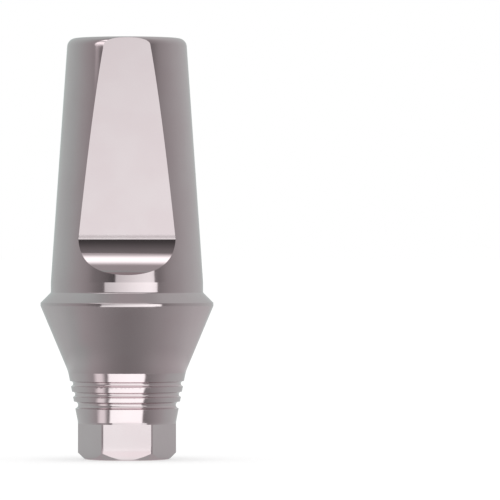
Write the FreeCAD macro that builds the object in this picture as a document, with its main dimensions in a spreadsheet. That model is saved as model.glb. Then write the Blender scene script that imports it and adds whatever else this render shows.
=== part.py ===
import FreeCAD, Part
import math
import os
import Sketcher

# Transfer abutment for a dental implant: one titanium piece, turned, then milled.
# From the bottom up it has an anti-rotation hexagon, a short round land, an 11 degree
# sealing cone with three fine grooves, a flaring cuff, a narrow collar land, a
# 45 degree shoulder, a cylindrical band, and a slender post with a milled flat.
# Lengths are millimetres. Z runs up the turning axis from the hexagon's end face,
# and the flat faces -Y.

NODE = "abutment_body"

# Every driving size, with its alias in the sheet, its value and what it sets
SIZES = [
    ("hex_across_flats", 2.49, "hexagon, across flats"),
    ("hex_height", 1.04, "hexagon, end face to land"),
    ("hex_corner_trim", 0.018, "sharp corner's radius less the turned radius under it"),
    ("hex_lead_in", 0.205, "45 degree lead-in, measured at a corner"),
    ("hex_wall", 0.22, "wall between a hexagon flat and the screw hole"),
    ("land_height", 0.05, "round land between hexagon and cone"),
    ("cone_length", 1.46, "sealing cone, along the axis"),
    ("cone_half_angle", 11, "sealing cone, degrees to the axis"),
    ("groove_count", 3, "grooves round the sealing cone"),
    ("groove_start", 0.485, "cone's lower end to the lowest groove"),
    ("groove_pitch", 0.308, "from groove to groove, along the axis"),
    ("groove_radius", 0.075, "half-round section of a groove"),
    ("lowest_groove_radius", 0.1, "the lowest groove, which is cut deeper"),
    ("neck_radius", 1.2, "concave blend of cone and cuff"),
    ("cuff_height", 1.887, "cuff, along the axis"),
    ("cuff_half_angle", 22.85, "cuff flare, degrees to the axis"),
    ("collar_land", 0.09, "cylindrical land round the widest place"),
    ("collar_round", 0.05, "radius of the land's two edges"),
    ("shoulder_width", 0.298, "45 degree shoulder, across and up"),
    ("shoulder_foot_round", 0.05, "radius where band and shoulder meet"),
    ("band_height", 0.3, "cylindrical band under the post"),
    ("post_height", 7.04, "post, along the axis"),
    ("post_half_angle", 3.97, "post taper, degrees to the axis"),
    ("post_rim_round", 0.25, "radius of the post's top edge"),
    ("flat_wall", 0.395, "wall between the milled flat and the channel"),
    ("flat_foot_height", 1.228, "post's lower end to the foot of the flat"),
    ("cutter_radius", 1.53, "round run-out under the flat"),
    ("cutter_rise", 0.2, "run-out centre above the foot of the flat"),
    ("seat_height", 3.0, "end face to the lower edge of the screw seat"),
    ("seat_width", 0.175, "45 degree screw seat, across and up"),
    ("mouth_break", 0.05, "edge break at both mouths of the bore"),
]

# Radii and heights along the piece, each from the one before it
SHARP_CORNER_R = "(Sizes.hex_across_flats / 2 / cos(30))"
HEX_CORNER_R = f"({SHARP_CORNER_R} - Sizes.hex_corner_trim)"
CONE_FOOT_Z = "(Sizes.hex_height + Sizes.land_height)"
NECK_R = f"({HEX_CORNER_R} + Sizes.cone_length * tan(Sizes.cone_half_angle))"
NECK_Z = f"({CONE_FOOT_Z} + Sizes.cone_length)"
COLLAR_R = f"({NECK_R} + Sizes.cuff_height * tan(Sizes.cuff_half_angle))"
COLLAR_Z = f"({NECK_Z} + Sizes.cuff_height)"
SHOULDER_Z = f"({COLLAR_Z} + Sizes.collar_land)"
BAND_R = f"({COLLAR_R} - Sizes.shoulder_width)"
BAND_Z = f"({SHOULDER_Z} + Sizes.shoulder_width)"
POST_Z = f"({BAND_Z} + Sizes.band_height)"
TOP_Z = f"({POST_Z} + Sizes.post_height)"
TOP_R = f"({BAND_R} - Sizes.post_height * tan(Sizes.post_half_angle))"
HOLE_R = "(Sizes.hex_across_flats / 2 - Sizes.hex_wall)"
CHANNEL_R = f"({HOLE_R} + Sizes.seat_width)"
FLAT_Y = f"({CHANNEL_R} + Sizes.flat_wall)"
FLAT_FOOT_Z = f"({POST_Z} + Sizes.flat_foot_height)"

MATCH = 1e-6    # mm, how near two places are when they are the same

doc = FreeCAD.newDocument("TransferAbutment")
sheet = doc.addObject("Spreadsheet::Sheet", "Sizes")
for row, (alias, value, meaning) in enumerate(SIZES, start=1):
    sheet.set(f"A{row}", alias)
    sheet.set(f"B{row}", str(value))
    sheet.set(f"C{row}", meaning)
    sheet.setAlias(f"B{row}", alias)
doc.recompute()

body = doc.addObject("PartDesign::Body", NODE)
body.Label = NODE


def value_of(expression):
    """The number that an expression on the sheet gives."""
    result = sheet.evalExpression(expression)
    return float(getattr(result, "Value", result))


def new_sketch(name, plane_role):
    """A sketch on one of the body's own origin planes."""
    sketch = body.newObject("Sketcher::SketchObject", name)
    plane = next(feature for feature in body.Origin.OriginFeatures if feature.Role == plane_role)
    sketch.AttachmentSupport = [(plane, "")]
    sketch.MapMode = "FlatFace"
    return sketch


def bind(sketch, kind, *target_and_expression):
    """Adds a dimension whose value follows an expression on the sheet."""
    *target, expression = target_and_expression
    index = sketch.addConstraint(Sketcher.Constraint(kind, *target, value_of(expression)))
    sketch.setExpression(f"Constraints[{index}]", expression)


def place_point(sketch, geometry, point, across, up):
    """Fixes a point at (across, up) from the sketch's origin, on an axis where one is zero."""
    for kind, axis, expression in (("DistanceX", -2, across), ("DistanceY", -1, up)):
        if abs(value_of(expression)) < MATCH:
            sketch.addConstraint(Sketcher.Constraint("PointOnObject", geometry, point, axis))
        else:
            bind(sketch, kind, -1, 1, geometry, point, expression)


def entry_and_exit(points, index, radius):
    """Where a corner's arc begins and ends, with its middle point."""
    corner = points[index]
    back = (points[index - 1] - corner).normalize()
    ahead = (points[(index + 1) % len(points)] - corner).normalize()
    half_angle = back.getAngle(ahead) / 2
    to_middle = (back + ahead).normalize() * radius * (1 / math.sin(half_angle) - 1)
    tangent_length = radius / math.tan(half_angle)
    return corner + back * tangent_length, corner + to_middle, corner + ahead * tangent_length


def draw_outline(sketch, corners):
    """Draws a closed outline. Each corner is (across, up), or (across, up, radius) if rounded."""
    points = [FreeCAD.Vector(value_of(corner[0]), value_of(corner[1]), 0) for corner in corners]
    count = len(points)
    arcs = {
        index: entry_and_exit(points, index, value_of(corner[2]))
        for index, corner in enumerate(corners)
        if len(corner) > 2
    }
    for index in range(count):
        following = (index + 1) % count
        start = arcs[index][2] if index in arcs else points[index]
        end = arcs[following][0] if following in arcs else points[following]
        sketch.addGeometry(Part.LineSegment(start, end))
    for index, corner in enumerate(corners):
        line_in = (index - 1) % count
        if index not in arcs:
            sketch.addConstraint(Sketcher.Constraint("Coincident", line_in, 2, index, 1))
            place_point(sketch, index, 1, corner[0], corner[1])
            continue
        entry, middle, leave = arcs[index]
        arc = sketch.addGeometry(Part.Arc(entry, middle, leave))
        starts_at_entry = sketch.getPoint(arc, 1).distanceToPoint(entry) < MATCH
        entry_end, leave_end = (1, 2) if starts_at_entry else (2, 1)
        sketch.addConstraint(Sketcher.Constraint("Tangent", line_in, 2, arc, entry_end))
        sketch.addConstraint(Sketcher.Constraint("Tangent", arc, leave_end, index, 1))
        bind(sketch, "Radius", arc, corner[2])
        sharp = sketch.addGeometry(Part.Point(points[index]), True)
        sketch.addConstraint(Sketcher.Constraint("PointOnObject", sharp, 1, line_in))
        sketch.addConstraint(Sketcher.Constraint("PointOnObject", sharp, 1, index))
        place_point(sketch, sharp, 1, corner[0], corner[1])


def turn(kind, name, sketch):
    """Revolves a sketch about its upright axis, as added or as removed material."""
    feature = body.newObject(kind, name)
    feature.Profile = sketch
    feature.ReferenceAxis = (sketch, ["V_Axis"])
    feature.Angle = 360
    doc.recompute()
    return feature


def require_less(before, feature):
    """Stops the script where a cut has taken nothing away."""
    if not feature.Shape.Volume < before:
        raise RuntimeError(f"{feature.Name} removes no material")


def turn_outside():
    """The whole outside as one revolved section, from the conical lead-in to the post's rim."""
    sketch = new_sketch("TurnedSection", "XZ_Plane")
    draw_outline(sketch, [
        ("0", "0"),
        (f"{HEX_CORNER_R} - Sizes.hex_lead_in", "0"),
        (HEX_CORNER_R, "Sizes.hex_lead_in"),
        (HEX_CORNER_R, CONE_FOOT_Z),
        (NECK_R, NECK_Z, "Sizes.neck_radius"),
        (COLLAR_R, COLLAR_Z, "Sizes.collar_round"),
        (COLLAR_R, SHOULDER_Z, "Sizes.collar_round"),
        (BAND_R, BAND_Z, "Sizes.shoulder_foot_round"),
        (BAND_R, POST_Z),
        (TOP_R, TOP_Z, "Sizes.post_rim_round"),
        ("0", TOP_Z),
    ])
    turn("PartDesign::Revolution", "TurnedOutside", sketch)


def turn_grooves():
    """Half-round grooves, each centred on the sealing cone's surface."""
    for number in range(round(value_of("Sizes.groove_count"))):
        before = body.Shape.Volume
        above_foot = f"(Sizes.groove_start + {number} * Sizes.groove_pitch)"
        radius = "Sizes.groove_radius" if number else "Sizes.lowest_groove_radius"
        sketch = new_sketch(f"GrooveSection{number + 1}", "XZ_Plane")
        sketch.addGeometry(Part.Circle(FreeCAD.Vector(1, 1, 0), FreeCAD.Vector(0, 0, 1), 0.1))
        bind(sketch, "Radius", 0, radius)
        across = f"{HEX_CORNER_R} + {above_foot} * tan(Sizes.cone_half_angle)"
        place_point(sketch, 0, 3, across, f"{CONE_FOOT_Z} + {above_foot}")
        require_less(before, turn("PartDesign::Groove", f"SealingGroove{number + 1}", sketch))


def mill_hexagon():
    """Six flats, two of them square to Y, that leave the turned surface at the corners."""
    before = body.Shape.Volume
    sketch = new_sketch("HexagonSketch", "XY_Plane")
    draw_outline(sketch, [
        (f"{SHARP_CORNER_R} * cos({angle})", f"{SHARP_CORNER_R} * sin({angle})")
        for angle in range(0, 360, 60)
    ])
    clear = sketch.addGeometry(Part.Circle(FreeCAD.Vector(0, 0, 0), FreeCAD.Vector(0, 0, 1), 2))
    place_point(sketch, clear, 3, "0", "0")
    bind(sketch, "Radius", clear, "Sizes.hex_across_flats")
    hexagon = body.newObject("PartDesign::Pocket", "Hexagon")
    hexagon.Profile = sketch
    hexagon.Reversed = True
    hexagon.setExpression("Length", "Sizes.hex_height")
    doc.recompute()
    require_less(before, hexagon)


def mill_flat():
    """Flat along the post that runs out to the surface in a round-ended cut."""
    before = body.Shape.Volume
    sketch = new_sketch("FlatSection", "YZ_Plane")
    centre_y = f"({FLAT_Y} + sqrt(pow(Sizes.cutter_radius; 2) - pow(Sizes.cutter_rise; 2)))"
    centre_z = f"({FLAT_FOOT_Z} + Sizes.cutter_rise)"
    clear_z = f"({TOP_Z} + Sizes.post_rim_round)"
    foot = FreeCAD.Vector(-value_of(FLAT_Y), value_of(FLAT_FOOT_Z), 0)
    centre = FreeCAD.Vector(-value_of(centre_y), value_of(centre_z), 0)
    lowest = centre - FreeCAD.Vector(0, value_of("Sizes.cutter_radius"), 0)
    inner_top = FreeCAD.Vector(foot.x, value_of(clear_z), 0)
    outer_top = FreeCAD.Vector(centre.x, value_of(clear_z), 0)
    circle = Part.Circle(centre, FreeCAD.Vector(0, 0, 1), value_of("Sizes.cutter_radius"))
    face, run_out, outside, above = range(4)
    sketch.addGeometry(Part.LineSegment(inner_top, foot))
    sketch.addGeometry(Part.ArcOfCircle(circle, circle.parameter(lowest), circle.parameter(foot)))
    sketch.addGeometry(Part.LineSegment(lowest, outer_top))
    sketch.addGeometry(Part.LineSegment(outer_top, inner_top))
    for first, first_end, second, second_end in (
        (face, 2, run_out, 2),
        (run_out, 1, outside, 1),
        (outside, 2, above, 1),
        (above, 2, face, 1),
    ):
        sketch.addConstraint(Sketcher.Constraint("Coincident", first, first_end, second, second_end))
    sketch.addConstraint(Sketcher.Constraint("Vertical", face))
    sketch.addConstraint(Sketcher.Constraint("Vertical", outside))
    sketch.addConstraint(Sketcher.Constraint("Horizontal", above))
    sketch.addConstraint(Sketcher.Constraint("PointOnObject", run_out, 3, outside))
    place_point(sketch, face, 2, f"-{FLAT_Y}", FLAT_FOOT_Z)
    bind(sketch, "DistanceY", -1, 1, run_out, 3, centre_z)
    bind(sketch, "Radius", run_out, "Sizes.cutter_radius")
    bind(sketch, "DistanceY", -1, 1, above, 1, clear_z)
    flat = body.newObject("PartDesign::Pocket", "MilledFlat")
    flat.Profile = sketch
    flat.Type = "ThroughAll"
    flat.Midplane = True
    doc.recompute()
    require_less(before, flat)


def bore_screw_way():
    """Screw channel from the top, conical seat and clearance hole through the hexagon."""
    before = body.Shape.Volume
    sketch = new_sketch("BoreSection", "XZ_Plane")
    draw_outline(sketch, [
        ("0", "0"),
        (f"{HOLE_R} + Sizes.mouth_break", "0"),
        (HOLE_R, "Sizes.mouth_break"),
        (HOLE_R, "Sizes.seat_height"),
        (CHANNEL_R, "Sizes.seat_height + Sizes.seat_width"),
        (CHANNEL_R, f"{TOP_Z} - Sizes.mouth_break"),
        (f"{CHANNEL_R} + Sizes.mouth_break", TOP_Z),
        ("0", TOP_Z),
    ])
    require_less(before, turn("PartDesign::Groove", "ScrewBore", sketch))


turn_outside()
turn_grooves()
mill_hexagon()
mill_flat()
bore_screw_way()

# Nothing is written unless every feature and the finished solid are sound
for item in doc.Objects:
    if "Invalid" in item.State or "Error" in item.State:
        raise RuntimeError(f"{item.Name} failed: {item.State}")
solid = body.Shape
if solid.isNull() or not solid.isValid() or len(solid.Solids) != 1:
    raise RuntimeError("the abutment isn't one valid solid")

os.makedirs("parts", exist_ok=True)
solid.exportStep(f"parts/{NODE}.step")
box = solid.optimalBoundingBox()
print(f"{NODE}: {box.XLength:.3f} x {box.YLength:.3f} x {box.ZLength:.3f} mm, {solid.Volume:.3f} mm3")
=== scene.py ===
import math

import bpy
from mathutils import Matrix, Vector


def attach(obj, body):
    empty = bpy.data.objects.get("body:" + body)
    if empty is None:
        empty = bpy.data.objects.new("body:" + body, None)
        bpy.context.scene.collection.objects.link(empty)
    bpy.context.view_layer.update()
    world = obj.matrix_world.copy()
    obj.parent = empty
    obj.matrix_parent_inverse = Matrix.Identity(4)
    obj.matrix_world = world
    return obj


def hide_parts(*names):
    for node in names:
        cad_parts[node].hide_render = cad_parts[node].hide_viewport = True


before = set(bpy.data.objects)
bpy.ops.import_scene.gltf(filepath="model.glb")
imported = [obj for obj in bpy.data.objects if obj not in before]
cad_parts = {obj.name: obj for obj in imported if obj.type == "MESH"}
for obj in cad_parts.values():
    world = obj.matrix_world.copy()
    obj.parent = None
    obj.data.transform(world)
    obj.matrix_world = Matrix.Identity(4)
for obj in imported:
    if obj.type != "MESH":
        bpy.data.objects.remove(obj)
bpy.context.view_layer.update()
bpy.ops.object.select_all(action="DESELECT")

MM = 0.001

# Sizes of the abutment in millimetres, up the turning axis from the hexagon's end face
HEX_APOTHEM = 1.245
HEX_CORNER_ROUND = 0.116
HEX_CORNER_R = 1.4196
HEX_TOP = 1.04
LEAD_IN = 0.205
LEAD_IN_FOOT_ROUND = 0.15
LAND_TOP = 1.09
NECK_Z = 2.55
NECK_ROUND = 1.2
CONE_ANGLE = math.radians(11)
CUFF_ANGLE = math.radians(22.85)
COLLAR_Z = 4.437
COLLAR_LAND = 0.09
COLLAR_ROUND = 0.05
SHOULDER = 0.298
SHOULDER_FOOT_ROUND = 0.05
BAND_TOP = 5.125
POST_TOP = 12.165
POST_ANGLE = math.radians(3.97)
POST_RIM_ROUND = 0.25
FLAT_Y = 1.595
FLAT_FOOT = 6.353
CUTTER_R = 1.53
CUTTER_RISE = 0.2
GROOVE_LIP = 0.010
GROOVES = ((1.575, 0.1), (1.883, 0.075), (2.191, 0.075))     # height and radius
HOLE_R = 1.025
CHANNEL_R = 1.2
SEAT_FOOT = 3.0
MOUTH_BREAK = 0.05

# How finely the abutment is drawn
TURNS = 192                     # steps round the axis
FACET = math.radians(5)         # most that a rounded edge turns in one step
RUN_OUT_FACET = math.radians(2.5)
CORNER_STEPS = 8                # steps round each corner of the hexagon
SAME = 1e-4                     # two heights that differ by less are the same
MERGE = 0.0002                  # two points that are closer become one
SMOOTH_UNDER = math.radians(12) # faces that turn less run into each other
NORMAL_WEIGHT = 50
FOOT_BEHIND = 1                 # how far behind the flat its foot's edge may lie

# How far the cutters reach past the blank
CUTTER_PAST_END = 0.5
CUTTER_PAST_TOP = 1
CUTTER_PAST_SIDE = 1.5
CUTTER_HALF_WIDTH = 3
HEX_CUTTER_SPREAD = 2.2         # outer edge as a multiple of the hexagon

NECK_R = HEX_CORNER_R + (NECK_Z - LAND_TOP) * math.tan(CONE_ANGLE)
COLLAR_R = NECK_R + (COLLAR_Z - NECK_Z) * math.tan(CUFF_ANGLE)
BAND_R = COLLAR_R - SHOULDER
TOP_R = BAND_R - (POST_TOP - BAND_TOP) * math.tan(POST_ANGLE)


# Drawing sections

def arc(centre, start, end, facet=FACET):
    """Points along the shorter arc from start to end, both included."""
    first = start - centre
    turn = first.angle_signed(end - centre)
    steps = max(2, math.ceil(abs(turn) / facet))
    return [centre + Matrix.Rotation(-turn * i / steps, 2) @ first for i in range(steps + 1)]


def rounded(before, corner, after, radius):
    """The arc that rounds a corner between two straight runs."""
    back = (before - corner).normalized()
    ahead = (after - corner).normalized()
    half = back.angle(ahead) / 2
    centre = corner + (back + ahead).normalized() * radius / math.sin(half)
    reach = radius / math.tan(half)
    return arc(centre, corner + back * reach, corner + ahead * reach)


def groove(z, radius):
    """A half-round groove in the sealing cone, with its two lips broken."""
    along = Vector((math.sin(CONE_ANGLE), math.cos(CONE_ANGLE)))
    inward = Vector((-along.y, along.x))
    centre = Vector((HEX_CORNER_R + (z - LAND_TOP) * math.tan(CONE_ANGLE), z))
    reach = math.sqrt((radius + GROOVE_LIP) ** 2 - GROOVE_LIP ** 2)
    points = []
    for side in (-1, 1):
        lip_centre = centre + along * side * reach + inward * GROOVE_LIP
        surface = centre + along * side * reach
        inside = centre + (lip_centre - centre) * radius / (radius + GROOVE_LIP)
        lip = arc(lip_centre, surface, inside)
        points.append(lip if side < 0 else lip[::-1])
    bottom = centre + inward * radius
    lower, upper = points
    return lower + arc(centre, lower[-1], bottom)[1:] + arc(centre, bottom, upper[0])[1:] + upper[1:]


def turned_section():
    """The closed section of the blank, up the outside and back down the bore."""
    corners = [
        (HOLE_R + MOUTH_BREAK, 0, 0),
        (HEX_CORNER_R - LEAD_IN, 0, LEAD_IN_FOOT_ROUND),
        (HEX_CORNER_R, LEAD_IN, 0),
        (HEX_CORNER_R, LAND_TOP, 0),
        *(("groove", *sizes) for sizes in GROOVES),
        (NECK_R, NECK_Z, NECK_ROUND),
        (COLLAR_R, COLLAR_Z, COLLAR_ROUND),
        (COLLAR_R, COLLAR_Z + COLLAR_LAND, COLLAR_ROUND),
        (BAND_R, COLLAR_Z + COLLAR_LAND + SHOULDER, SHOULDER_FOOT_ROUND),
        (BAND_R, BAND_TOP, 0),
        (TOP_R, POST_TOP, POST_RIM_ROUND),
        (CHANNEL_R + MOUTH_BREAK, POST_TOP, 0),
        (CHANNEL_R, POST_TOP - MOUTH_BREAK, 0),
        (CHANNEL_R, SEAT_FOOT + CHANNEL_R - HOLE_R, 0),
        (HOLE_R, SEAT_FOOT, 0),
        (HOLE_R, MOUTH_BREAK, 0),
    ]
    knots = [Vector(c[:2]) for c in corners if c[0] != "groove"]
    points = []
    for c in corners:
        if c[0] == "groove":
            points += groove(*c[1:])
            continue
        at = Vector(c[:2])
        k = knots.index(at)
        if c[2]:
            points += rounded(knots[k - 1], at, knots[(k + 1) % len(knots)], c[2])
        else:
            points.append(at)
    return [Vector((p.x, 0, p.y)) for p in points]


def run_out_section():
    """The cutter's way along the flat, seen from the side: flat, foot and round run-out."""
    foot = Vector((-FLAT_Y, FLAT_FOOT))
    centre = Vector((-FLAT_Y - math.sqrt(CUTTER_R ** 2 - CUTTER_RISE ** 2), FLAT_FOOT + CUTTER_RISE))
    lowest = centre - Vector((0, CUTTER_R))
    clear = POST_TOP + CUTTER_PAST_TOP
    outside = lowest.x - CUTTER_PAST_SIDE
    points = [Vector((-FLAT_Y, clear)), *arc(centre, foot, lowest, RUN_OUT_FACET)]
    points += [Vector((outside, lowest.y)), Vector((outside, clear))]
    return [Vector((0, p.x, p.y)) for p in points]


# Bench work in edit mode

def name_active(name):
    """Names the active object and its mesh."""
    piece = bpy.context.active_object
    piece.name = name
    piece.data.name = name
    return piece


def draw_loop(name, points):
    """A closed wire, drawn point by point from one vertex."""
    bpy.ops.mesh.primitive_circle_add(vertices=3, radius=0.1 * MM, location=points[0] * MM)
    wire = name_active(name)
    bpy.ops.object.transform_apply(location=True, rotation=True, scale=True)
    bpy.ops.object.mode_set(mode="EDIT")
    bpy.ops.mesh.select_mode(type="VERT")
    bpy.ops.mesh.merge(type="CENTER")
    for last, point in zip(points, points[1:]):
        bpy.ops.mesh.extrude_vertices_move(TRANSFORM_OT_translate={"value": (point - last) * MM})
    bpy.ops.object.mode_set(mode="OBJECT")
    bpy.ops.object.mode_set(mode="EDIT")
    bpy.ops.mesh.select_all(action="DESELECT")
    bpy.ops.object.mode_set(mode="OBJECT")
    wire.data.vertices[0].select = True
    wire.data.vertices[len(points) - 1].select = True
    bpy.ops.object.mode_set(mode="EDIT")
    bpy.ops.mesh.edge_face_add()
    bpy.ops.mesh.select_all(action="SELECT")
    return wire


def close_skin():
    """Merges doubles and turns every face outward, then leaves edit mode."""
    bpy.ops.mesh.select_all(action="SELECT")
    bpy.ops.mesh.remove_doubles(threshold=MERGE * MM)
    bpy.ops.mesh.normals_make_consistent(inside=False)
    bpy.ops.mesh.select_all(action="DESELECT")
    bpy.ops.object.mode_set(mode="OBJECT")


def turn_blank():
    """The blank on the lathe: its section spun once round the axis."""
    blank = draw_loop("turned_abutment", turned_section())
    bpy.ops.mesh.spin(steps=TURNS, angle=math.tau, center=(0, 0, 0), axis=(0, 0, 1))
    close_skin()
    return blank


def hexagon_cutter():
    """A ring to take away, which leaves a hexagon with rounded corners inside it."""
    bpy.ops.mesh.primitive_circle_add(
        vertices=6,
        radius=HEX_APOTHEM / math.cos(math.pi / 6) * MM,
        location=(0, 0, -CUTTER_PAST_END * MM),
        rotation=(0, 0, math.pi / 6),
    )
    ring = name_active("hexagon_cutter")
    bpy.ops.object.transform_apply(location=True, rotation=True, scale=True)
    bpy.ops.object.mode_set(mode="EDIT")
    bpy.ops.mesh.select_mode(type="VERT")
    bpy.ops.mesh.select_all(action="SELECT")
    reach = HEX_CORNER_ROUND * math.tan(math.pi / 6)
    bpy.ops.mesh.bevel(offset=reach * MM, segments=CORNER_STEPS, affect="VERTICES")
    bpy.ops.mesh.select_all(action="SELECT")
    bpy.ops.mesh.extrude_edges_move()
    bpy.ops.transform.resize(value=(HEX_CUTTER_SPREAD, HEX_CUTTER_SPREAD, 1), center_override=(0, 0, 0))
    bpy.ops.mesh.select_all(action="SELECT")
    rise = (CUTTER_PAST_END + HEX_TOP) * MM
    bpy.ops.mesh.extrude_region_move(TRANSFORM_OT_translate={"value": (0, 0, rise)})
    close_skin()
    return ring


def flat_cutter():
    """The milled way along the post as a solid to take away."""
    way = draw_loop("flat_cutter", run_out_section())
    bpy.ops.mesh.edge_face_add()
    bpy.ops.transform.translate(value=(-CUTTER_HALF_WIDTH * MM, 0, 0))
    bpy.ops.mesh.extrude_region_move(TRANSFORM_OT_translate={"value": (2 * CUTTER_HALF_WIDTH * MM, 0, 0)})
    close_skin()
    return way


def mill(piece, cutter):
    """Takes the cutter away from the piece; the cut faces keep the cutter's finish."""
    bpy.ops.object.select_all(action="DESELECT")
    piece.select_set(True)
    bpy.context.view_layer.objects.active = piece
    cut = piece.modifiers.new("cut", "BOOLEAN")
    cut.operation = "DIFFERENCE"
    cut.solver = "EXACT"
    cut.material_mode = "TRANSFER"
    cut.object = cutter
    bpy.ops.object.modifier_apply(modifier=cut.name)
    bpy.data.objects.remove(cutter)


def mark_turns(piece, heights, back=math.inf):
    """Marks as sharp the level edges at some heights that lie in front of y = back, whatever they turn."""
    points = [vertex.co / MM for vertex in piece.data.vertices]
    for edge in piece.data.edges:
        first, second = (points[v] for v in edge.vertices)
        edge.select = max(first.y, second.y) < back and any(
            abs(first.z - z) < SAME and abs(second.z - z) < SAME for z in heights
        )
    bpy.ops.object.mode_set(mode="EDIT")
    bpy.ops.mesh.select_mode(type="EDGE")
    bpy.ops.mesh.mark_sharp()
    bpy.ops.mesh.select_all(action="DESELECT")
    bpy.ops.object.mode_set(mode="OBJECT")


# Finishes

class Signal:
    """A number on its way through a material, written as plain arithmetic."""

    def __init__(self, finish, socket):
        self.finish = finish
        self.socket = socket

    def _math(self, operation, *values):
        return self.finish.node("ShaderNodeMath", {"operation": operation}, *values)

    def __add__(self, other):
        return self._math("ADD", self, other)

    def __sub__(self, other):
        return self._math("SUBTRACT", self, other)

    def __rsub__(self, other):
        return self._math("SUBTRACT", other, self)

    def __mul__(self, other):
        return self._math("MULTIPLY", self, other)

    def __truediv__(self, other):
        return self._math("DIVIDE", self, other)

    __radd__ = __add__

    def power(self, exponent):
        return self._math("POWER", self, exponent)

    def size(self):
        return self._math("ABSOLUTE", self)

    def angle_to(self, other):
        return self._math("ARCTAN2", self, other)

    def smooth(self, low, high, bottom=0.0, top=1.0):
        """Runs smoothly from bottom to top as the number goes from low to high."""
        return self.finish.node(
            "ShaderNodeMapRange", {"interpolation_type": "SMOOTHSTEP"},
            self, low, high, bottom, top,
        )

    def between(self, low, high, soft):
        """1 between low and high and 0 outside, over a soft edge."""
        rise = self.smooth(low - soft / 2, low + soft / 2)
        return rise * (1 - self.smooth(high - soft / 2, high + soft / 2))


class Finish:
    """One material and its nodes."""

    def __init__(self, name):
        self.material = bpy.data.materials.new(name)
        self.material.use_nodes = True
        self.tree = self.material.node_tree
        self.tree.nodes.clear()

    def node(self, kind, settings, *values, out=0, **named):
        """A node with its settings, then the values or links of its sockets, in order or by name."""
        made = self.tree.nodes.new(kind)
        for key, value in settings.items():
            if key == "stops":
                ramp = made.color_ramp
                ramp.interpolation = "B_SPLINE"
                while len(ramp.elements) < len(value):
                    ramp.elements.new(0.5)
                for element, (place, level) in zip(ramp.elements, value):
                    element.position = place
                    element.color = (level, level, level, 1)
            else:
                setattr(made, key, value)
        usable = [s for s in made.inputs if s.enabled]
        for socket, value in [*zip(usable, values), *((made.inputs[k], v) for k, v in named.items())]:
            if isinstance(value, Signal):
                self.tree.links.new(value.socket, socket)
            elif value is not None:
                socket.default_value = value
        if not made.outputs:
            return None
        return Signal(self, made.outputs[out])

    def surface(self, shader):
        """Makes a shader the material's surface."""
        self.node("ShaderNodeOutputMaterial", {}, shader)

    def place(self):
        """Where a point is on the piece, in millimetres."""
        spot = self.node("ShaderNodeTexCoord", {}, out="Object")
        return self.node("ShaderNodeMapping", {"vector_type": "POINT"}, Vector=spot, Scale=(1 / MM,) * 3)

    def xyz(self, vector):
        """The three parts of a place."""
        split = self.node("ShaderNodeSeparateXYZ", {}, vector)
        outputs = split.socket.node.outputs
        return [Signal(self, outputs[i]) for i in range(3)]

    def noise(self, vector, scale, detail):
        """Soft noise from 0 to 1."""
        return self.node(
            "ShaderNodeTexNoise", {"noise_dimensions": "3D"},
            Vector=vector, Scale=scale, Detail=detail, Roughness=0.5,
        )

    def mix(self, factor, first, second):
        """Blends two colours."""
        made = self.tree.nodes.new("ShaderNodeMix")
        made.data_type = "RGBA"
        for socket, value in ((made.inputs[0], factor), (made.inputs[6], first), (made.inputs[7], second)):
            if isinstance(value, Signal):
                self.tree.links.new(value.socket, socket)
            else:
                socket.default_value = value
        return Signal(self, made.outputs[2])


TITANIUM = (0.715, 0.622, 0.640, 1)
TITANIUM_WARM = (0.700, 0.598, 0.618, 1)
TITANIUM_GRAZING = (0.95, 0.95, 0.95, 1)
# Lighter titanium colour, laid on the grooves' walls as a painted highlight
TITANIUM_PAINTED_HIGHLIGHT = (0.92, 0.86, 0.87, 1)
CLOUDS = 0.8                    # soft clouds in the metal's colour, about this many in a millimetre
CLOUD_DETAIL = 3.0
CLOUD_EDGES = (0.35, 0.65)
CLOUD_GRAIN = 0.6
RING_SLANT = 0.37               # keeps the lathe's rings apart on level faces too
RINGS = 30                      # fineness of the rings along the axis and round it
RINGS_ROUND = 0.25
MILL_LINES = (0.3, 4, 24)       # fineness of the cutter's lines across, into and along the flat
MARK_DETAIL = 2.0

# The duller line over the flat's foot, and the painted highlight that lightens the colour of the grooves'
# walls. Three values are where a band starts, where it ends and how soft its edges are, in mm
RUB = (0.03, 0.125, 0.09)       # over the foot
RUB_DULL = 0.32
WALLS = (0.01, 0.045, 0.012)    # under the cone's surface
GROOVED = (1.4, 2.35, 0.02)     # heights
BESIDE_FRONT = (-0.93, -0.85)   # y over the reach from the axis


def metal(name, marks, depth, roughness, rough_range, rubbed=None, bright=None):
    """Titanium with the tool marks of marks(finish, place), duller where the others say, and lighter in
    colour where a painted highlight is laid on.
    """
    finish = Finish(name)
    place = finish.place()
    lines = marks(finish, place)
    cloud = finish.noise(place, CLOUDS, CLOUD_DETAIL)
    colour = finish.mix(cloud.smooth(*CLOUD_EDGES), TITANIUM, TITANIUM_WARM)
    # Painted highlight: the colour is lightened toward a paler titanium where the mask says
    if bright:
        colour = finish.mix(bright(finish, place), colour, TITANIUM_PAINTED_HIGHLIGHT)
    bump = finish.node("ShaderNodeBump", {}, Strength=1.0, Distance=depth * MM, Height=lines)
    grain = roughness + (lines + cloud * CLOUD_GRAIN) * rough_range
    if rubbed:
        grain = grain + rubbed(finish, place)
    finish.surface(finish.node(
        "ShaderNodeBsdfPrincipled", {"distribution": "MULTI_GGX"},
        **{
            "Base Color": colour,
            "Metallic": 1.0,
            "Roughness": grain,
            "Specular Tint": TITANIUM_GRAZING,
            "Normal": bump,
        },
    ))
    return finish.material


def turning_marks(finish, place):
    """Fine rings that the lathe tool leaves, wandering a little round the piece."""
    x, y, z = finish.xyz(place)
    along = z + (x * x + y * y).power(0.5) * RING_SLANT
    squeezed = finish.node("ShaderNodeCombineXYZ", {}, x * RINGS_ROUND, y * RINGS_ROUND, along * RINGS)
    return finish.noise(squeezed, 1.0, MARK_DETAIL)


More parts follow.
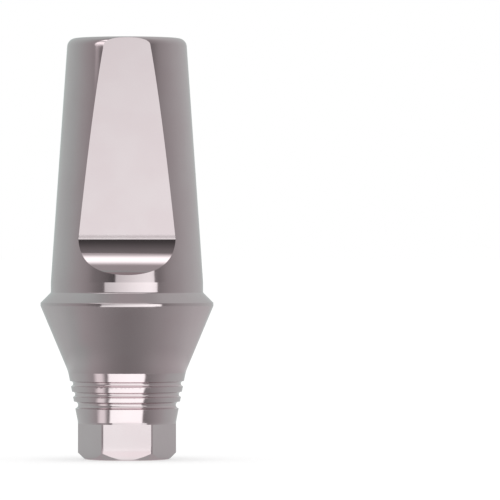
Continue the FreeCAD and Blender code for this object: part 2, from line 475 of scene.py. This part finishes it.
def groove_wall_highlight(finish, place):
    """Where a painted highlight lightens the colour: the grooves' steep walls, just under the sealing
    cone's surface, away from the front.
    """
    x, y, z = finish.xyz(place)
    reach = (x * x + y * y).power(0.5)
    cone = z * math.tan(CONE_ANGLE) + (HEX_CORNER_R - LAND_TOP * math.tan(CONE_ANGLE))
    wall = (cone - reach).between(*WALLS) * z.between(*GROOVED)
    return wall * (y / reach).smooth(*BESIDE_FRONT)


def milling_marks(finish, place):
    """Fine straight lines across the cutter's way."""
    squeezed = finish.node(
        "ShaderNodeCombineXYZ", {}, *(part * lines for part, lines in zip(finish.xyz(place), MILL_LINES)),
    )
    return finish.noise(squeezed, 1.0, MARK_DETAIL)


def foot_rub(finish, place):
    """A duller line just over the foot of the flat, where the cutter dwelt."""
    x, y, z = finish.xyz(place)
    return (z - FLAT_FOOT).between(*RUB) * RUB_DULL


# The turned titanium carries a painted highlight on the grooves' walls
turned_titanium = metal(
    "turned_titanium", turning_marks, depth=0.00012, roughness=0.075, rough_range=0.03, bright=groove_wall_highlight,
)
milled_titanium = metal(
    "milled_titanium", milling_marks, depth=0.00008, roughness=0.06, rough_range=0.03, rubbed=foot_rub,
)


# The abutment

abutment = turn_blank()
abutment.data.materials.append(turned_titanium)
for cutter in (hexagon_cutter(), flat_cutter()):
    cutter.data.materials.append(milled_titanium)
    mill(abutment, cutter)

bpy.ops.object.mode_set(mode="EDIT")
close_skin()
bpy.ops.object.shade_smooth_by_angle(angle=SMOOTH_UNDER)
mark_turns(abutment, (LAND_TOP, BAND_TOP))
mark_turns(abutment, (FLAT_FOOT,), FOOT_BEHIND - FLAT_Y)
weigh = abutment.modifiers.new("weigh", "WEIGHTED_NORMAL")
weigh.mode = "FACE_AREA"
weigh.weight = NORMAL_WEIGHT
weigh.keep_sharp = True
bpy.ops.object.modifier_apply(modifier=weigh.name)

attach(abutment, "root")
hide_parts("abutment_body")


# The studio: what the metal mirrors
# Directions are degrees round the axis, 0 in front of the flat and positive to the right, or degrees up.
# Reaches from the axis and heights are mm. A level of 1 is white paper. Three values are where a band
# starts, where it ends and how soft its edges are. Two or four values are where a ramp starts and where
# it ends, and what it is worth there if that isn't 0 and 1.

TENT_R = 120
TENT_Z = 6
TENT_FLOOR = -0.5
SHEET_R = 119
SHEET_Z = 0.02
FLAG_Z = 2.478
FLAG_R = (1.75, 4.8, 12)        # inner rim, end of the whole ring, end of the open ring
FLAG_OPEN = (33, 325)           # the open ring runs behind the abutment between these directions
GROOVE_PAPER_Z = 2.476
CARD_STEPS = 64                 # steps round each card
CARD_MERGE = 0.0001
WHITE = (1, 1, 1, 1)
ROSE = (1.015, 0.985, 0.997, 1)
COOL = (0.912, 1.032, 1.005, 1)

# Greys by direction, from the front to the back
TENT_GREYS = (
    (0, 0.16), (38, 0.17), (50, 0.235), (60, 0.30), (70, 0.345), (80, 0.385), (90, 0.42), (100, 0.46),
    (112, 0.492), (126, 0.535), (144, 0.58), (180, 0.60),
)
FLAG_GREYS = (
    (0, 0.228), (15, 0.240), (30, 0.264), (46, 0.310), (63, 0.350), (81, 0.400), (103, 0.455),
    (117, 0.495), (133, 0.53), (180, 0.58),
)
SHEET_GREYS = (
    (0, 0.16), (30, 0.20), (46, 0.255), (60, 0.315), (74, 0.372), (90, 0.44), (108, 0.495),
    (120, 0.508), (135, 0.545), (180, 0.60),
)
SHEET_SPREAD = 1.13             # the sheet and the flag as the hexagon and the cuff mirror them
FLAG_SPREAD = 1.47

# The tent: a pale stripe on the left, the ceiling, the dark front, the front window and the roof window
STRIPE_ROUND = (-62.5, -55.5, 4)
STRIPE_UP = (10.5, 12.3, 0, 0.19)
CEILING_UP = (62, 76)
CEILING_LEVEL = 0.40
FRONT_ROUND = (-52, 52, 24)
FRONT_UP = (3.5, 70, 3)
FRONT_BY_HEIGHT = (14, 45, 0.05, 0.20)
FRONT_BY_SIDE = (8, 48, 0, 0.15)
WINDOW_LEFT = (3, 4, 33.8, 17.3)
WINDOW_RIGHT = (3, 4, 46.2, 42.2)
WINDOW_LEFT_EDGE = (-0.8, 0.8)
WINDOW_RIGHT_EDGE = (-0.8, 0.8, 1, 0)
WINDOW_TOP = (11.5, 12.5, 1, 0)
WINDOW_LEVEL = 1.095
WINDOW_BRIGHTEST_UP = -0.9
WINDOW_FALL = 0.0032            # how fast the paper darkens above and below that
WINDOW_FOOT = (-1.6, -1.1, 1, 0)
WINDOW_FOOT_ROUND = (-40, 45, -0.12, 0.26)
WINDOW_ROUND = (-60, 45, -0.42, 0.30)
WINDOW_RIGHT_END = (30, 48, 0, 0.10)
ROOF_ROUND = (-70, 47, 2)
ROOF_UP = (50.2, 69, 13)
ROOF_LEVEL = 1.65
TENT_COOL_LEFT = (-118, -60, 1, 0)
TENT_COOL_RIGHT = (40, 150, 0, 0.65)
WINDOW_COOL = 0.45

# The flag under the collar
FLAG_RIM_ROUND = (3, 60)
FLAG_RIM = (1.95, 3.0, 0.17, 0)
FLAG_COOL_TURN = (2.6, 3.4, 0, 18)
FLAG_COOL_LEFT = (-92, -50, 0.88, 0.1)
FLAG_COOL_RIGHT = (60, 130, 0, 0.2)

# The sheet: it starts again far out; a strip, a wide and a narrow paper, and the place under the end face
SHEET_END = (32.6, 33.2, 0, 29.3)
STRIP_ROUND = (-61.5, -43.5, 12)
STRIP_REACH = (9, 10, 1, 0)
STRIP_LEVEL = 0.96
PAPER_CRISP = (8, 10, 1, 2.5)
PAPER_LEFT_EDGE = (-3, 3)
PAPER_RIGHT_EDGE = (-2, 2, 1, 0)
PAPER_LEFT = (3, 9, 35.2, 34)
PAPER_RIGHT = (3, 9, 30.4, 34.6)
PAPER_NARROW = (9, 10.5, 0, 11.6)
PAPER_LEVEL = 1.18
PAPER_ROUND = (-36, 10, 0.93, 1)
NEAR_REACH = (3.65, 8.2, 0.3)
NEAR_LEVEL = 0.34
BENEATH = (1.9, 2.2, 1, 0)
BENEATH_LEVEL = 0.46
BENEATH_FRONT = (-11, 11, 14)
BENEATH_FRONT_LEVEL = 0.5
SHEET_COOL_LEFT = (-100, -60, 0.85, 0.1)
SHEET_COOL_RIGHT = (60, 100, 0, 0.5)
PAPER_COOL = 0.5


def glow(name, level_of, cool_of):
    """A fabric that glows at the level of level_of and as cool as cool_of, both of (finish, place)."""
    finish = Finish(name)
    place = finish.place()
    colour = finish.mix(cool_of(finish, place), ROSE, COOL)
    level = level_of(finish, place)
    glowing = finish.node("ShaderNodeVectorMath", {"operation": "SCALE"}, Vector=colour, Scale=level)
    finish.surface(finish.node("ShaderNodeEmission", {}, Color=glowing, Strength=1.0))
    return finish.material


def even_glow(name, level):
    """A paper that glows white and evenly."""
    finish = Finish(name)
    finish.surface(finish.node("ShaderNodeEmission", {}, Color=WHITE, Strength=level))
    return finish.material


def seen_in_metal_only(card):
    """A studio card that shows in the metal's reflections and nowhere else."""
    card.visible_camera = False
    card.visible_diffuse = False
    card.visible_shadow = False
    card.visible_transmission = False
    card.visible_volume_scatter = False


def grey_round(finish, degrees, greys):
    """A grey that is darkest in front and paler towards the back."""
    return finish.node(
        "ShaderNodeValToRGB",
        {"stops": tuple((at / 180, level) for at, level in greys)},
        degrees.size() / 180,
    )


def degrees_round(x, y):
    """Direction round the axis in degrees, 0 in front of the flat and positive to the right."""
    return x.angle_to(0 - y) * (180 / math.pi)


def tent_direction(finish, place):
    """Directions round and up from the tent's middle, in degrees."""
    x, y, z = finish.xyz(place)
    up = (z - TENT_Z).angle_to((x * x + y * y).power(0.5)) * (180 / math.pi)
    return degrees_round(x, y), up


def front_window(around, up):
    """Where the white paper in front of the tent shows."""
    left = (around + up.smooth(*WINDOW_LEFT)).smooth(*WINDOW_LEFT_EDGE)
    right = (around - up.smooth(*WINDOW_RIGHT)).smooth(*WINDOW_RIGHT_EDGE)
    return left * right * up.smooth(*WINDOW_TOP)


def roof_window(around, up):
    """Where the white paper over the tent shows."""
    return around.between(*ROOF_ROUND) * up.between(*ROOF_UP)


def tent_cool(finish, place):
    """How cool the tent is: most on its left, and a little at its back and in its windows."""
    around, up = tent_direction(finish, place)
    sides = around.smooth(*TENT_COOL_LEFT) + around.smooth(*TENT_COOL_RIGHT)
    pale = front_window(around, up) + roof_window(around, up)
    return sides * (1 - pale) + pale * WINDOW_COOL


def tent_level(finish, place):
    """How bright the tent is in each direction, with its front window and its roof window."""
    around, up = tent_direction(finish, place)
    grey = grey_round(finish, around, TENT_GREYS)
    grey = grey + around.between(*STRIPE_ROUND) * up.smooth(*STRIPE_UP)
    ceiling = up.smooth(*CEILING_UP)
    grey = grey * (1 - ceiling) + ceiling * CEILING_LEVEL
    front = around.between(*FRONT_ROUND) * up.between(*FRONT_UP)
    dark = up.smooth(*FRONT_BY_HEIGHT) + around.size().smooth(*FRONT_BY_SIDE)
    grey = grey * (1 - front) + dark * front
    window = front_window(around, up)
    off_middle = up - WINDOW_BRIGHTEST_UP
    paper = WINDOW_LEVEL - off_middle * off_middle * WINDOW_FALL
    paper = paper + up.smooth(*WINDOW_FOOT) * around.smooth(*WINDOW_FOOT_ROUND)
    paper = paper + around.smooth(*WINDOW_ROUND) - around.smooth(*WINDOW_RIGHT_END)
    roof = roof_window(around, up)
    grey = grey * (1 - window) + paper * window
    return grey * (1 - roof) + roof * ROOF_LEVEL


def flag_direction(finish, place):
    """Direction round the flag in degrees, as the cuff mirrors it, and the reach from the axis."""
    x, y, z = finish.xyz(place)
    return degrees_round(x, y) * FLAG_SPREAD, (x * x + y * y).power(0.5)


def flag_cool(finish, place):
    """How cool the flag is: most on its left."""
    around, reach = flag_direction(finish, place)
    left = (around + reach.smooth(*FLAG_COOL_TURN)).smooth(*FLAG_COOL_LEFT)
    return left + around.smooth(*FLAG_COOL_RIGHT)


def flag_level(finish, place):
    """The flag under the collar, darkest in front and paler at its inner rim on both sides."""
    around, reach = flag_direction(finish, place)
    rim = around.size().smooth(*FLAG_RIM_ROUND) * reach.smooth(*FLAG_RIM)
    return grey_round(finish, around, FLAG_GREYS) * (1 + rim)


def sheet_direction(finish, place):
    """Direction round the sheet in degrees, and the reach from the axis, which starts again far out."""
    x, y, z = finish.xyz(place)
    reach = (x * x + y * y).power(0.5)
    return degrees_round(x, y), reach - reach.smooth(*SHEET_END)


def sheet_papers(around, reach):
    """Where the wide and the narrow white paper lie on the sheet."""
    crisp = reach.smooth(*PAPER_CRISP)
    left = (around + reach.smooth(*PAPER_LEFT)) * crisp
    right = (around - reach.smooth(*PAPER_RIGHT) - reach.smooth(*PAPER_NARROW)) * crisp
    return left.smooth(*PAPER_LEFT_EDGE) * right.smooth(*PAPER_RIGHT_EDGE)


def sheet_cool(finish, place):
    """How cool the sheet is: most on its left, less on its right and in its papers."""
    around, reach = sheet_direction(finish, place)
    sides = around.smooth(*SHEET_COOL_LEFT) + around.smooth(*SHEET_COOL_RIGHT)
    white = sheet_papers(around, reach)
    return sides * (1 - white) + white * PAPER_COOL


def sheet_level(finish, place):
    """The tent's floor: a grey sheet, with a wide and a narrow white paper in front."""
    around, reach = sheet_direction(finish, place)
    grey = grey_round(finish, around * SHEET_SPREAD, SHEET_GREYS)
    strip = around.between(*STRIP_ROUND) * reach.smooth(*STRIP_REACH)
    grey = grey * (1 - strip) + strip * STRIP_LEVEL
    white = sheet_papers(around, reach)
    near = reach.between(*NEAR_REACH)
    paper = (PAPER_LEVEL + near * NEAR_LEVEL) * around.smooth(*PAPER_ROUND)
    beneath = reach.smooth(*BENEATH)
    under = BENEATH_LEVEL + around.between(*BENEATH_FRONT) * BENEATH_FRONT_LEVEL
    return (grey * (1 - white) + paper * white) * (1 - beneath) + under * beneath


# Grey tent round and over the abutment
bpy.ops.mesh.primitive_uv_sphere_add(
    segments=96, ring_count=48, radius=TENT_R * MM, location=(0, 0, TENT_Z * MM),
)
tent = name_active("light_tent")
bpy.ops.object.transform_apply(location=True, rotation=True, scale=True)
bpy.ops.object.mode_set(mode="EDIT")
bpy.ops.mesh.select_all(action="SELECT")
bpy.ops.mesh.bisect(plane_co=(0, 0, TENT_FLOOR * MM), plane_no=(0, 0, 1), clear_inner=True)
bpy.ops.object.mode_set(mode="OBJECT")
tent.data.materials.append(glow("tent_fabric", tent_level, tent_cool))
seen_in_metal_only(tent)


def card_round(name, near, far, start, end, fabric):
    """A card round the axis from start to end, in degrees, with a straight section (reach, height)."""
    bpy.ops.object.select_all(action="DESELECT")
    bpy.ops.mesh.primitive_plane_add(size=1 * MM)
    card = name_active(name)
    bpy.ops.object.mode_set(mode="EDIT")
    bpy.ops.mesh.select_mode(type="VERT")
    bpy.ops.mesh.select_all(action="SELECT")
    bpy.ops.mesh.merge(type="CENTER")
    turn = math.radians(start)
    aside = Vector((math.sin(turn), -math.cos(turn), 0))
    first, last = (aside * reach * MM + Vector((0, 0, height * MM)) for reach, height in (near, far))
    bpy.ops.transform.translate(value=first)
    bpy.ops.mesh.extrude_vertices_move(TRANSFORM_OT_translate={"value": last - first})
    bpy.ops.mesh.select_all(action="SELECT")
    bpy.ops.mesh.spin(
        steps=CARD_STEPS, angle=math.radians(start - end), center=(0, 0, 0), axis=(0, 0, 1),
    )
    bpy.ops.mesh.remove_doubles(threshold=CARD_MERGE * MM)
    bpy.ops.object.mode_set(mode="OBJECT")
    card.data.materials.append(fabric)
    seen_in_metal_only(card)


sheet_fabric = glow("sheet_fabric", sheet_level, sheet_cool)
flag_fabric = glow("flag_fabric", flag_level, flag_cool)
rim_r, ring_r, wide_r = FLAG_R
card_round("floor_sheet", (0, SHEET_Z), (SHEET_R, SHEET_Z), 0, 360, sheet_fabric)
card_round("collar_flag", (rim_r, FLAG_Z), (ring_r, FLAG_Z), 0, 360, flag_fabric)
card_round("collar_flag_wide", (ring_r, FLAG_Z), (wide_r, FLAG_Z), *FLAG_OPEN, flag_fabric)
card_round(
    "groove_paper", (rim_r, GROOVE_PAPER_Z), (ring_r, GROOVE_PAPER_Z), -30, 30,
    even_glow("groove_paper", 0.95),
)
card_round("hexagon_paper", (3.5, 0.02), (3.5, 0.19), -35, 35, even_glow("hexagon_paper", 1.18))
card_round("rim_paper", (4.5, 12.5), (4.5, 14.5), -53, -35, even_glow("rim_paper", 1.4))

# Lamp straight over the floor, kept off the metal
lamp = bpy.data.lights.new("floor_lamp", "SUN")
lamp.energy = 0.35
lamp.angle = math.radians(20)
floor_lamp = bpy.data.objects.new("floor_lamp", lamp)
bpy.context.scene.collection.objects.link(floor_lamp)
floor_lamp.visible_glossy = False

# White floor, which meets the white world at the horizon
bpy.ops.mesh.primitive_plane_add(size=6.0)
floor = name_active("floor")
paper = Finish("white_paper")
lit = paper.node("ShaderNodeBsdfDiffuse", {}, Color=WHITE)
backlit = paper.node("ShaderNodeEmission", {}, Color=WHITE, Strength=1.0)
camera_ray, glossy_ray, transmission_ray = (
    paper.node("ShaderNodeLightPath", {}, out=f"Is {kind} Ray")
    for kind in ("Camera", "Glossy", "Transmission")
)
white_share = (camera_ray + glossy_ray + transmission_ray) * 0.5
paper.surface(paper.node("ShaderNodeMixShader", {}, white_share, lit, backlit))
floor.data.materials.append(paper.material)

world = bpy.data.worlds.new("white_room")
world.use_nodes = True
background = world.node_tree.nodes["Background"]
background.inputs["Color"].default_value = WHITE
background.inputs["Strength"].default_value = 1.0
bpy.context.scene.world = world

# Camera, as far away and as high as the photo's
CAMERA_AWAY = 152.9
CAMERA_HEIGHT = 6.05
CAMERA_TURN = math.radians(1.332)
PICTURE_PX = 500
DEPTH_PX = 5290                 # focal length in pixels
SENSOR = 36

camera_data = bpy.data.cameras.new("camera")
camera_data.sensor_width = SENSOR
camera_data.lens = SENSOR * DEPTH_PX / PICTURE_PX
camera_data.clip_start = 0.001
camera_data.clip_end = 20
camera = bpy.data.objects.new("camera", camera_data)
bpy.context.scene.collection.objects.link(camera)
camera.location = (0, -CAMERA_AWAY * MM, CAMERA_HEIGHT * MM)
camera.rotation_euler = (math.pi / 2, 0, -CAMERA_TURN)
bpy.context.scene.camera = camera
bpy.context.scene.view_settings.view_transform = "Standard"
